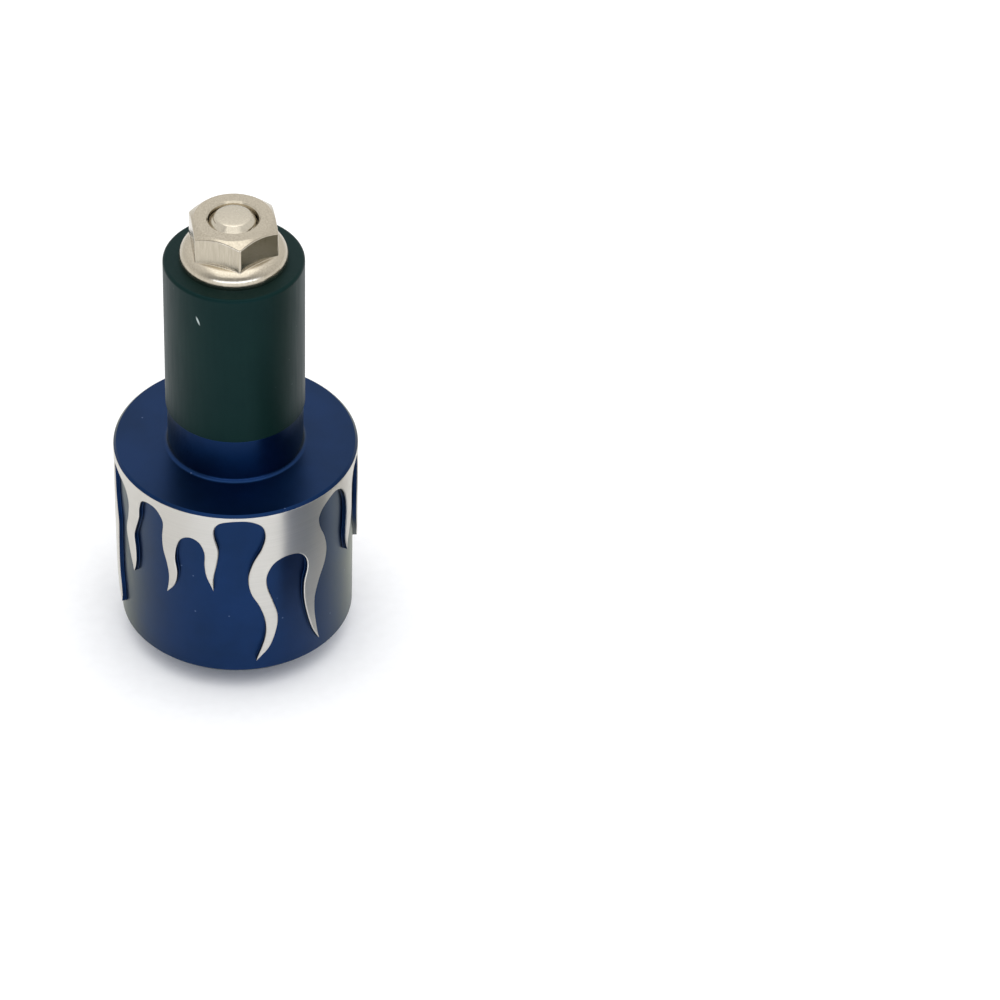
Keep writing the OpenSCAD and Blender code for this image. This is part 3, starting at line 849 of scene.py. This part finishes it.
FLOAT, WHOLE, FINISH, MATH = "NodeSocketFloat", "NodeSocketInt", "NodeSocketMaterial", "ShaderNodeMath"
STEEPNESS, ROOT_FLAT = 2.64, 0.06
tree, given, thread_keys = new_tree("thread", [
    ("Length", FLOAT), ("Pitch", FLOAT), ("Crest Radius", FLOAT), ("Depth", FLOAT), ("Chamfer", FLOAT),
    ("Bottom", FLOAT), ("Columns", WHOLE), ("Rows", WHOLE), ("Finish", FINISH)])
lattice = put(tree, "GeometryNodeMeshGrid", {
    "Size X": 1.0, "Size Y": 1.0, "Vertices X": given["Columns"], "Vertices Y": given["Rows"]})
spot = put(tree, "ShaderNodeSeparateXYZ", {0: put(tree, "GeometryNodeInputPosition")})

# Each row climbs one pitch in a turn. The share of the turn runs from 0 to 1 across the grid.
share = put(tree, MATH, {0: spot.outputs["X"], 1: 0.5}, operation="ADD")
climb = put(tree, MATH, {0: spot.outputs["Y"], 1: 0.5}, operation="ADD")
full = put(tree, MATH, {0: given["Length"], 1: given["Pitch"]}, operation="ADD")
late = put(tree, MATH, {0: share, 1: 1.0}, operation="SUBTRACT")
late = put(tree, MATH, {0: late, 1: given["Pitch"]}, operation="MULTIPLY")
free = put(tree, MATH, {0: climb, 1: full, 2: late}, operation="MULTIPLY_ADD")
height = put(tree, "ShaderNodeClamp", {"Value": free, "Min": 0.0, "Max": given["Length"]})

# The ridge is a wave along the axis, cut off at the root and at the crest.
wave = put(tree, MATH, {0: height, 1: given["Pitch"]}, operation="DIVIDE")
wave = put(tree, MATH, {0: wave, 1: share}, operation="SUBTRACT")
wave = put(tree, MATH, {0: wave, 1: 0.5}, operation="PINGPONG")
wave = put(tree, MATH, {0: wave, 1: ROOT_FLAT}, operation="SUBTRACT")
ridge = put(tree, MATH, {0: wave, 1: STEEPNESS}, operation="MULTIPLY", use_clamp=True)
root = put(tree, MATH, {0: given["Crest Radius"], 1: given["Depth"]}, operation="SUBTRACT")
ridge = put(tree, MATH, {0: ridge, 1: given["Depth"], 2: root}, operation="MULTIPLY_ADD")

# The chamfer is a cone of 45 degrees at the upper end.
left_over = put(tree, MATH, {0: given["Length"], 1: height}, operation="SUBTRACT")
narrow = put(tree, MATH, {0: given["Crest Radius"], 1: given["Chamfer"]}, operation="SUBTRACT")
cone = put(tree, MATH, {0: narrow, 1: left_over}, operation="ADD")
radius = put(tree, MATH, {0: ridge, 1: cone}, operation="MINIMUM")

angle = put(tree, MATH, {0: share, 1: 2 * math.pi}, operation="MULTIPLY")
lift = put(tree, MATH, {0: height, 1: given["Bottom"]}, operation="ADD")
unbent = put(tree, "ShaderNodeCombineXYZ", {"X": radius, "Z": lift})
bent = put(tree, "ShaderNodeVectorRotate", {"Vector": unbent, "Angle": angle}, rotation_type="Z_AXIS")
moved = put(tree, "GeometryNodeSetPosition", {"Geometry": lattice, "Position": bent})
end_tree(tree, put(tree, "GeometryNodeMergeByDistance", {"Geometry": moved, "Distance": 0.004 * MM}),
         given["Finish"])
thread_tree = tree
print("thread:", len(tree.nodes), "nodes")

# %% [markdown]
# ## The knurl
# The head's side is rolled with fine ridges for the fingers. A bump could show them, but their outline
# is seen from below, so each is a thin square rod, turned edge out and half sunk into the side. Geometry
# Nodes set it on a circle of points.

# %% Build the knurl's node tree
tree, given, knurl_keys = new_tree("knurl", [
    ("Count", WHOLE), ("Radius", FLOAT), ("Height", FLOAT), ("Width", FLOAT), ("Middle", FLOAT),
    ("Finish", FINISH)])
loop = put(tree, "GeometryNodeMeshCircle", {
    "Vertices": given["Count"], "Radius": given["Radius"]}, fill_type="NONE")
middle = put(tree, "ShaderNodeCombineXYZ", {"Z": given["Middle"]})
raised = put(tree, "GeometryNodeTransform", {"Geometry": loop, "Translation": middle})
away = put(tree, "ShaderNodeVectorMath", {
    0: put(tree, "GeometryNodeInputPosition"), 1: (1, 1, 0)}, operation="MULTIPLY")
aim = put(tree, "FunctionNodeAlignRotationToVector", {"Vector": away}, axis="X")
tooth = put(tree, "GeometryNodeMeshCylinder", {
    "Vertices": 4, "Side Segments": 1, "Radius": given["Width"], "Depth": given["Height"]})
set_round = put(tree, "GeometryNodeInstanceOnPoints", {"Points": raised, "Instance": tooth, "Rotation": aim})
end_tree(tree, set_round, given["Finish"])
knurl_tree = tree
print("knurl:", len(tree.nodes), "nodes")

# %% [markdown]
# ## From trees to meshes
# The trees are run on an empty mesh, and what they make is copied out as a plain one. They could stay as
# live modifiers, but here each piece is a plain mesh.

# %% Grow the thread and the knurl
def grown(name, tree, keys, sizes):
    holder = bpy.data.objects.new(name + "_holder", bpy.data.meshes.new(name + "_empty"))
    bpy.context.scene.collection.objects.link(holder)
    growth = holder.modifiers.new(name, "NODES")
    growth.node_group = tree
    for label, value in sizes.items():
        growth[keys[label]] = value
    made = bpy.data.meshes.new_from_object(holder.evaluated_get(bpy.context.evaluated_depsgraph_get()))
    holder.modifiers.remove(growth)
    bpy.data.objects.remove(holder)
    made.name = name
    return made


COLUMNS, ROWS_A_TURN, TIP_SAG = 60, 12, 0.15
TOOTH, TOOTH_L = 0.19, 5.2
thread_mesh = grown("thread", thread_tree, thread_keys, {
    "Length": (THREAD_L - TIP_SAG) * MM, "Pitch": PITCH * MM, "Crest Radius": (SHANK_R - 0.01) * MM,
    "Depth": 0.6 * MM, "Chamfer": 0.85 * MM, "Bottom": (TIP - THREAD_L) * MM, "Columns": COLUMNS + 1,
    "Rows": int((THREAD_L / PITCH + 1) * ROWS_A_TURN) + 1, "Finish": SCREW_ZINC})
knurl_mesh = grown("knurl", knurl_tree, knurl_keys, {
    "Count": 64, "Radius": (HEAD_R - TOOTH) * MM, "Height": TOOTH_L * MM, "Width": TOOTH * MM,
    "Middle": (FACE + 0.6 + TOOTH_L / 2) * MM, "Finish": SCREW_ZINC})
print("thread:", triangles(thread_mesh), "triangles, knurl:", triangles(knurl_mesh), "triangles")

# %% [markdown]
# ## The ends of the thread
# The grid leaves the rod open at both ends. A fill would close each with one many-sided face, which can't
# be anything but flat, while the real end is a low dome between the chamfers. So the edge is drawn in
# ring by ring, flat at the hidden end and along a dome at the tip.

# %% Close the thread
DRAWN_IN, ON_RIM = 0.2, 1e-6
work = bmesh.new()
work.from_mesh(thread_mesh)
bmesh.ops.triangulate(work, faces=work.faces)
for rim_z, sag in ((TIP - THREAD_L, 0), (TIP - TIP_SAG, TIP_SAG)):
    rim = [e for e in work.edges if e.is_boundary and abs(e.verts[0].co.z - rim_z * MM) < ON_RIM]
    for share in (0.8, 0.6, 0.4, 0.2):
        drawn = bmesh.ops.extrude_edge_only(work, edges=rim)["geom"]
        rim = [part for part in drawn if isinstance(part, bmesh.types.BMEdge)]
        for v in {v for e in rim for v in e.verts}:
            v.co.xy *= share / (share + DRAWN_IN)
            v.co.z = (rim_z + sag * (1 - share * share)) * MM
    middle = work.verts.new((0, 0, (rim_z + sag) * MM))
    for e in rim:
        work.faces.new((*e.verts, middle))
bmesh.ops.recalc_face_normals(work, faces=work.faces)
print("open edges left in the thread:", sum(e.is_boundary for e in work.edges))
work.to_mesh(thread_mesh)
work.free()
thread_mesh.set_sharp_from_angle(angle=math.radians(50))

# %% [markdown]
# ## One screw
# Head, thread and knurl are one piece of steel, so they are joined, and one finish is left on them. A
# boolean would weld them as well, but their joints are hidden in the bore and under the knurl.

# %% Join the screw
screw = piece_of("cap_screw_body", head_mesh, SCREW_ZINC)
for mesh in (thread_mesh, knurl_mesh):
    extra = bpy.data.objects.new(mesh.name, mesh)
    bpy.context.scene.collection.objects.link(extra)
    with bpy.context.temp_override(active_object=screw, selected_editable_objects=[screw, extra]):
        bpy.ops.object.join()
screw.data.materials.clear()
screw.data.materials.append(SCREW_ZINC)
screw.data.polygons.foreach_set("material_index", [0] * len(screw.data.polygons))
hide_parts("cap_screw")
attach(screw, "root")
print("screw:", triangles(screw.data), "triangles")

# %% [markdown]
# ## The table
# The picture was taken on white. A white world alone would leave the weight floating, so it stands on
# matt white paper, whose fibres show only as a faint mottle. The paper lies a hundredth of a millimetre
# below the weight's flat, because two faces in one plane flicker.

# %% Lay the paper
HALF, DROP = 3.0, 0.01 * MM
table = bpy.data.meshes.new("table")
corners = [(-HALF, -HALF, -DROP), (HALF, -HALF, -DROP), (HALF, HALF, -DROP), (-HALF, HALF, -DROP)]
table.from_pydata(corners, [], [(0, 1, 2, 3)])
white, tree = new_finish("paper matt white")
place = put(tree, "ShaderNodeTexCoord").outputs["Object"]
fibre = put(tree, "ShaderNodeTexNoise", {"Vector": place, "Scale": 1 / (1.5 * MM), "Detail": 2.0})
tone = put(tree, "ShaderNodeValToRGB", {"Fac": fibre}, [(0.3, "#f9f9f9"), (0.7, "#fcfcfc")])
shader = put(tree, "ShaderNodeBsdfPrincipled", {"Base Color": tone, "Roughness": 0.9})
put(tree, "ShaderNodeOutputMaterial", {"Surface": shader})
piece_of("table", table, white)
print("paper", 2 * HALF, "m wide")

# %% [markdown]
# ## The light tent
# The shadows in the picture are only faint pools at the foot, as in a light tent: a bright world all
# round. A single even white would do that, but it makes metal look like chalk. So the tent brightens
# towards the top, and its front, where the camera stands, is dimmer. Near the horizon it stays bright on
# all sides, so that the paper meets it without a line.

# %% Hang the light tent
tent = bpy.data.worlds.new("light tent")
bpy.context.scene.world = tent
tent.use_nodes = True
tree = tent.node_tree
tree.nodes.clear()
look = put(tree, "ShaderNodeSeparateXYZ", {0: put(tree, "ShaderNodeTexCoord").outputs["Generated"]})
rise = put(tree, "ShaderNodeValToRGB", {"Fac": look.outputs["Z"]}, [
    (0.0, 1.05), (0.12, 0.95), (0.3, 1.0), (0.64, 1.1), (0.85, 1.3), (1.0, 1.35)])
depth = put(tree, "ShaderNodeMapRange", {"Value": look.outputs["Y"], "From Min": -1.0, "From Max": 1.0})
behind = put(tree, "ShaderNodeValToRGB", {"Fac": depth}, [(0.0, 0.4), (0.15, 0.45), (0.38, 0.9), (0.8, 1.0)])
raised = put(tree, "ShaderNodeValToRGB", {"Fac": look.outputs["Z"]}, [(0.08, 0.0), (0.28, 1.0)])
both = put(tree, "ShaderNodeMix", {SHARE: raised, UNDER: rise, OVER: behind},
           data_type="RGBA", blend_type="MULTIPLY").outputs[MIXED]
air = put(tree, "ShaderNodeBackground", {"Color": both, "Strength": 1.0})
put(tree, "ShaderNodeOutputWorld", {"Surface": air})
print("tent:", len(tree.nodes), "nodes")

# %% [markdown]
# ## The softboxes
# Two lamps give the light its direction: a big softbox above, a little in front, and a long low one in
# front that draws the bright line on the nut's edge. Small lamps would give the same brightness, but
# their reflections would be hard points.

# %% Place the softboxes
AIM = Vector((0, 0, 30 * MM))


def softbox(name, place, size, power, colour="#ffffff"):
    lamp = bpy.data.lights.new(name, "AREA")
    lamp.shape, lamp.size, lamp.size_y, lamp.energy = "RECTANGLE", size[0], size[1], power
    lamp.color = light_of(colour)[:3]
    holder = bpy.data.objects.new(name, lamp)
    holder.location = place
    holder.rotation_euler = (AIM - Vector(place)).to_track_quat("-Z", "Y").to_euler()
    bpy.context.scene.collection.objects.link(holder)


softbox("softbox above", (0.0, -0.3, 1.15), (1.2, 1.2), 4.4)
softbox("softbox in front", (0.1, -0.72, 0.2), (1.4, 0.14), 2.6, "#dfeaff")

# %% [markdown]
# ## The card
# The dark streak in the turned metal needs something dark beside the weight. A dark world on that side
# would dim the paper as well, so a bent card stands there instead, and only reflections see it. It is
# painted in bands, because what the metal mirrors shades from deep blue through pale grey to brown.

# %% Stand the card beside the weight
NEAR = [(18, -24.4), (27, -17), (36, -6)]
FAR = [(48, -24), (57, -5), (60, 12)]
PAINT_FROM, PAINT_TO = 18 * MM, 60 * MM
dull, tree = new_finish("card dull painted")
where = put(tree, "ShaderNodeSeparateXYZ", {0: put(tree, "ShaderNodeTexCoord").outputs["Object"]})
along = put(tree, "ShaderNodeMapRange", {
    "Value": where.outputs["X"], "From Min": PAINT_FROM, "From Max": PAINT_TO})
paint = put(tree, "ShaderNodeValToRGB", {"Fac": along}, [
    (0.0, "#0d3566"), (0.2, "#1d4468"), (0.43, "#8e8e86"), (0.7, "#686a5e"), (1.0, "#8c8678")])
shader = put(tree, "ShaderNodeBsdfPrincipled", {
    "Base Color": paint, "Roughness": 0.8, "Specular IOR Level": 0.1})
put(tree, "ShaderNodeOutputMaterial", {"Surface": shader})
card = bpy.data.meshes.new("flag")
corners = []
for leaf, heights in ((NEAR, (0.5, 32)), (FAR, (4, 44))):
    corners += [(x * MM, y * MM, z * MM) for x, y in leaf for z in heights]
card.from_pydata(corners, [], [(k, k + 2, k + 3, k + 1) for k in (0, 2, 6, 8)])
flag = piece_of("flag", card, dull)
flag.visible_camera = flag.visible_diffuse = flag.visible_shadow = False
bpy.context.scene.view_settings.view_transform = "Standard"
print("card:", len(card.polygons), "leaves")

# %% [markdown]
# ## Sizes
# The dressed weight has to stay as large as the solids; its pieces take their radius, foot and top from the
# solids' boxes at the start.

# %% Finish
print("scene built")
